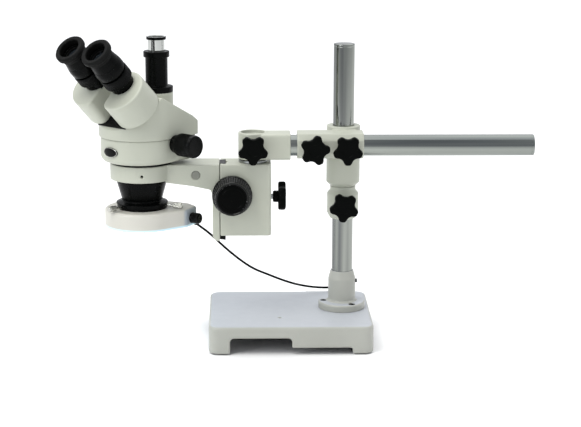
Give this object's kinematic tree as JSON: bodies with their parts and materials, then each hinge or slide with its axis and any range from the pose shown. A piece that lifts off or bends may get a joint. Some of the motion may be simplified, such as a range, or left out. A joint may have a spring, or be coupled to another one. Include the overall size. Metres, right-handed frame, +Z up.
{
  "type": "stereo microscope",
  "caption": "Trinocular zoom stereo microscope on a single-arm boom stand, with rack focus, clamp knobs and a ring light on a cord.",
  "frame": {"origin": "on the bench, under the column's axis", "axes": "+Z up along the column; +X along the boom's free end; the operator's side of the base is -Y"},
  "size_m": [0.7069, 0.3325, 0.4793],
  "materials": {
    "ivory_casting": "satin",
    "alloy_casting": "satin ivory paint",
    "black_plastic": "satin",
    "black_metal": "black anodised",
    "chrome": "polished",
    "steel": "machined",
    "dark_steel": "black oxide",
    "brass": "turned",
    "rubber": "matt",
    "optical_glass": "coated",
    "light_shell": "satin",
    "lamp_diffuser": "frosted",
    "cord_jacket": "smooth pvc"
  },
  "bodies": {
    "stand": {"base_casting": "ivory_casting", "rubber_feet": "rubber", "column_socket": "ivory_casting", "socket_bolts": "dark_steel", "socket_set_screw": "dark_steel", "column": "chrome", "light_cord": "cord_jacket", "cord_coil": "cord_jacket", "power_adapter": "black_plastic"},
    "stop_collar": {"stop_collar": "alloy_casting"},
    "stop_collar_knob": {"stop_collar_knob": "black_plastic"},
    "crosshead": {"crosshead": "alloy_casting"},
    "column_clamp_knob": {"column_clamp_knob": "black_plastic"},
    "boom_clamp_knob_left": {"boom_clamp_knob_left": "black_plastic"},
    "boom_clamp_knob_right": {"boom_clamp_knob_right": "black_plastic"},
    "boom": {"boom_tube": "chrome"},
    "knuckle": {"knuckle": "alloy_casting"},
    "knuckle_knob": {"knuckle_knob": "black_plastic"},
    "post": {"swivel_post": "steel"},
    "focus_block": {"focus_block": "alloy_casting", "pinion_bushes": "brass"},
    "block_clamp_knob": {"block_clamp_knob": "black_plastic"},
    "carrier": {"carrier_arm": "alloy_casting", "dovetail_slide": "black_metal", "focus_rack": "brass", "hole_plug": "alloy_casting"},
    "pinion": {"pinion_shaft": "steel", "focus_knob_near": "black_plastic", "focus_knob_far": "black_plastic"},
    "head": {"lower_housing": "alloy_casting", "upper_housing": "alloy_casting", "mount_ring": "black_metal", "drum_plate": "black_metal", "badge": "black_plastic", "objective_cone": "black_metal", "objective_lens": "optical_glass", "light_adapter": "black_metal", "photo_tube": "black_metal"},
    "ring_light": {"light_housing": "light_shell", "led_ring": "lamp_diffuser", "light_collar": "black_metal", "cord_gland": "rubber"},
    "light_screw_1": {"light_screw_1": "chrome"},
    "light_screw_2": {"light_screw_2": "chrome"},
    "light_screw_3": {"light_screw_3": "chrome"},
    "dimmer": {"dimmer_knob": "black_plastic"},
    "photo_sleeve": {"photo_sleeve": "chrome"},
    "zoom": {"zoom_shaft": "steel", "zoom_knob_near": "black_plastic", "zoom_knob_far": "black_plastic"},
    "binocular_near": {"prism_housing_near": "alloy_casting", "eyetube_near": "black_metal", "eyepiece_near": "black_metal", "eyecup_near": "rubber"},
    "binocular_far": {"prism_housing_far": "alloy_casting", "eyetube_far": "black_metal", "eyepiece_far": "black_metal", "eyecup_far": "rubber"},
    "diopter_near": {"diopter_ring_near": "black_metal"},
    "diopter_far": {"diopter_ring_far": "black_metal"}
  },
  "joints": [
    {"name": "collar_slide", "type": "slide", "parent": "stand", "child": "stop_collar", "axis": [0, 0, 1], "range_m": [-0.06, 0.1], "deforming": ["light_cord"]},
    {"name": "crosshead_swing", "type": "hinge", "parent": "stop_collar", "child": "crosshead", "pos_m": [0, 0, 0.29], "axis": [0, 0, 1], "range_deg": [-170, 170]},
    {"name": "boom_slide", "type": "slide", "parent": "crosshead", "child": "boom", "axis": [-1, 0, 0], "range_m": [-0.008, 0.23]},
    {"name": "boom_roll", "type": "hinge", "parent": "boom", "child": "knuckle", "pos_m": [-0.1, -0.04, 0.307], "axis": [1, 0, 0], "range_deg": [-45, 45]},
    {"name": "knuckle_swivel", "type": "hinge", "parent": "knuckle", "child": "post", "pos_m": [-0.138, -0.04, 0.3], "axis": [0, 0, 1], "range_deg": [-45, 34]},
    {"name": "block_slide", "type": "slide", "parent": "post", "child": "focus_block", "axis": [0, 0, 1], "range_m": [-0.025, 0]},
    {"name": "focus_slide", "type": "slide", "parent": "focus_block", "child": "carrier", "axis": [0, 0, 1], "range_m": [-0.025, 0.025]},
    {"name": "pinion_turn", "type": "hinge", "parent": "focus_block", "child": "pinion", "pos_m": [-0.169, -0.04, 0.2385], "axis": [0, 1, 0], "range_deg": [-160, 160]},
    {"name": "head_turn", "type": "hinge", "parent": "carrier", "child": "head", "pos_m": [-0.3045, -0.04, 0.28], "axis": [0, 0, 1], "continuous": true},
    {"name": "light_turn", "type": "hinge", "parent": "head", "child": "ring_light", "pos_m": [-0.3045, -0.04, 0.2], "axis": [0, 0, 1], "range_deg": [-60, 60]},
    {"name": "light_screw_1_turn", "type": "hinge", "parent": "ring_light", "child": "light_screw_1", "pos_m": [-0.34166, -0.07346, 0.219], "axis": [-0.7431, -0.6691, 0], "range_deg": [-180, 180]},
    {"name": "light_screw_2_turn", "type": "hinge", "parent": "ring_light", "child": "light_screw_2", "pos_m": [-0.25695, -0.05545, 0.219], "axis": [0.9511, -0.309, 0], "range_deg": [-180, 180]},
    {"name": "light_screw_3_turn", "type": "hinge", "parent": "ring_light", "child": "light_screw_3", "pos_m": [-0.3149, 0.00891, 0.219], "axis": [-0.2079, 0.9781, 0], "range_deg": [-180, 180]},
    {"name": "dimmer_turn", "type": "hinge", "parent": "ring_light", "child": "dimmer", "pos_m": [-0.23025, -0.0485, 0.1985], "axis": [0.8624, -0.5062, 0], "range_deg": [-135, 135]},
    {"name": "photo_sleeve_slide", "type": "slide", "parent": "head", "child": "photo_sleeve", "axis": [0, 0, 1], "range_m": [-0.012, 0.012]},
    {"name": "zoom_turn", "type": "hinge", "parent": "head", "child": "zoom", "pos_m": [-0.29714, -0.03182, 0.316], "axis": [0.7431, -0.6691, 0], "range_deg": [-90, 100]},
    {"name": "prism_near_turn", "type": "hinge", "parent": "head", "child": "binocular_near", "pos_m": [-0.31178, -0.09292, 0.37737], "axis": [-0.4731, -0.5255, 0.7071], "range_deg": [-26, 0]},
    {"name": "diopter_near_turn", "type": "hinge", "parent": "binocular_near", "child": "diopter_near", "pos_m": [-0.33317, -0.11219, 0.41945], "axis": [-0.4731, -0.5255, 0.7071], "range_deg": [-60, 60]},
    {"name": "prism_far_turn", "type": "hinge", "parent": "head", "child": "binocular_far", "pos_m": [-0.35637, -0.05277, 0.37737], "axis": [-0.4731, -0.5255, 0.7071], "range_deg": [0, 26]},
    {"name": "diopter_far_turn", "type": "hinge", "parent": "binocular_far", "child": "diopter_far", "pos_m": [-0.3733, -0.07606, 0.41945], "axis": [-0.4731, -0.5255, 0.7071], "range_deg": [-60, 60]},
    {"name": "stop_collar_knob_turn", "type": "hinge", "parent": "stop_collar", "child": "stop_collar_knob", "pos_m": [0, -0.03, 0.211], "axis": [0, -1, 0], "range_deg": [-180, 180]},
    {"name": "column_clamp_knob_turn", "type": "hinge", "parent": "crosshead", "child": "column_clamp_knob", "pos_m": [0, 0.03, 0.307], "axis": [0, 1, 0], "range_deg": [-180, 180]},
    {"name": "boom_clamp_knob_left_turn", "type": "hinge", "parent": "crosshead", "child": "boom_clamp_knob_left", "pos_m": [-0.0465, -0.065, 0.306], "axis": [0, -1, 0], "range_deg": [-180, 180]},
    {"name": "boom_clamp_knob_right_turn", "type": "hinge", "parent": "crosshead", "child": "boom_clamp_knob_right", "pos_m": [0.0024, -0.065, 0.306], "axis": [0, -1, 0], "range_deg": [-180, 180]},
    {"name": "knuckle_knob_turn", "type": "hinge", "parent": "knuckle", "child": "knuckle_knob", "pos_m": [-0.138, -0.065, 0.307], "axis": [0, -1, 0], "range_deg": [-180, 180]},
    {"name": "block_clamp_knob_turn", "type": "hinge", "parent": "focus_block", "child": "block_clamp_knob", "pos_m": [-0.105, -0.04, 0.229], "axis": [1, 0, 0], "range_deg": [-180, 180]}
  ],
  "couplings": [
    {"joint": "pinion_turn", "follows": "focus_slide", "rad_per_m": 111.11},
    {"joint": "prism_far_turn", "follows": "prism_near_turn", "ratio": -1}
  ]
}
